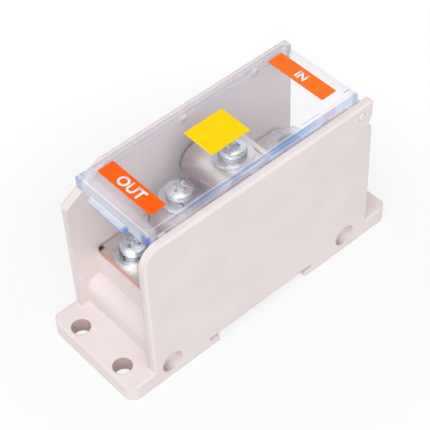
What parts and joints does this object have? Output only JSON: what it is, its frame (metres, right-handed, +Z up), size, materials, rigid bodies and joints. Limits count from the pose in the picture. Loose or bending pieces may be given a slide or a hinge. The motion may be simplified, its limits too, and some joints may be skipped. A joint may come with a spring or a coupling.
{
  "type": "power distribution block",
  "caption": "Single-pole power distribution block: moulded channel base for rail or screw mounting, stepped busbar with screw terminals, and a hinged clear cover.",
  "frame": {"origin": "on the mounting plane, under the middle of the block's bounding box", "axes": "+X along the block from the outgoing end to the incoming end, +Y across it, +Z up"},
  "size_m": [0.0916, 0.0324, 0.0531],
  "materials": {
    "housing_plastic": "satin moulded surface, pale warm grey",
    "clear_plastic": "clear moulded plastic with a faint blue edge",
    "tinned_copper": "tin-plated copper, satin, bare copper at the cut edges",
    "rivet_metal": "tin-plated",
    "zinc_steel": "bright zinc plating",
    "orange_label": "printed film",
    "yellow_label": "plain film"
  },
  "bodies": {
    "base": {"housing": "housing_plastic", "main_bar": "tinned_copper", "lower_strap": "tinned_copper", "upper_strap": "tinned_copper", "lower_rivet_left": "rivet_metal", "lower_rivet_right": "rivet_metal", "upper_rivet_left": "rivet_metal", "upper_rivet_right": "rivet_metal", "bar_screw_left": "zinc_steel", "bar_screw_right": "zinc_steel", "out_nut": "zinc_steel", "in_nut": "zinc_steel", "out_flat_washer_1": "zinc_steel", "out_flat_washer_2": "zinc_steel", "out_flat_washer_3": "zinc_steel", "in_flat_washer": "zinc_steel"},
    "cover": {"cover": "clear_plastic", "out_label": "orange_label", "in_label": "orange_label", "marker_label": "yellow_label"},
    "out_clamp_1": {"out_spring_washer_1": "zinc_steel"},
    "out_screw_1": {"out_screw_1": "zinc_steel"},
    "out_clamp_2": {"out_spring_washer_2": "zinc_steel"},
    "out_screw_2": {"out_screw_2": "zinc_steel"},
    "out_clamp_3": {"out_spring_washer_3": "zinc_steel"},
    "out_screw_3": {"out_screw_3": "zinc_steel"},
    "in_clamp": {"in_spring_washer": "zinc_steel"},
    "in_bolt": {"in_bolt": "zinc_steel"}
  },
  "joints": [
    {"name": "cover_hinge", "type": "hinge", "parent": "base", "child": "cover", "pos_m": [0.0334, 0, 0.0466], "axis": [0, 1, 0], "range_deg": [0, 110]},
    {"name": "out_lift_1", "type": "slide", "parent": "base", "child": "out_clamp_1", "axis": [0, 0, 1], "range_m": [0, 0.0049]},
    {"name": "out_turn_1", "type": "hinge", "parent": "out_clamp_1", "child": "out_screw_1", "pos_m": [-0.0247, 0.0056, 0.0228], "axis": [0, 0, 1], "range_deg": [0, 2532]},
    {"name": "out_lift_2", "type": "slide", "parent": "base", "child": "out_clamp_2", "axis": [0, 0, 1], "range_m": [0, 0.0049]},
    {"name": "out_turn_2", "type": "hinge", "parent": "out_clamp_2", "child": "out_screw_2", "pos_m": [-0.01, 0.004, 0.0334], "axis": [0, 0, 1], "range_deg": [0, 2532]},
    {"name": "out_lift_3", "type": "slide", "parent": "base", "child": "out_clamp_3", "axis": [0, 0, 1], "range_m": [0, 0.0014]},
    {"name": "out_turn_3", "type": "hinge", "parent": "out_clamp_3", "child": "out_screw_3", "pos_m": [0.0027, -0.0018, 0.044], "axis": [0, 0, 1], "range_deg": [0, 732]},
    {"name": "in_lift", "type": "slide", "parent": "base", "child": "in_clamp", "axis": [0, 0, 1], "range_m": [0, 0.0075]},
    {"name": "in_turn", "type": "hinge", "parent": "in_clamp", "child": "in_bolt", "pos_m": [0.0246, 0, 0.0228], "axis": [0, 0, 1], "range_deg": [0, 2172]}
  ],
  "couplings": [
    {"joint": "out_turn_1", "follows": "out_lift_1", "rad_per_m": 8976},
    {"joint": "out_turn_2", "follows": "out_lift_2", "rad_per_m": 8976},
    {"joint": "out_turn_3", "follows": "out_lift_3", "rad_per_m": 8976},
    {"joint": "in_turn", "follows": "in_lift", "rad_per_m": 5026.5}
  ]
}
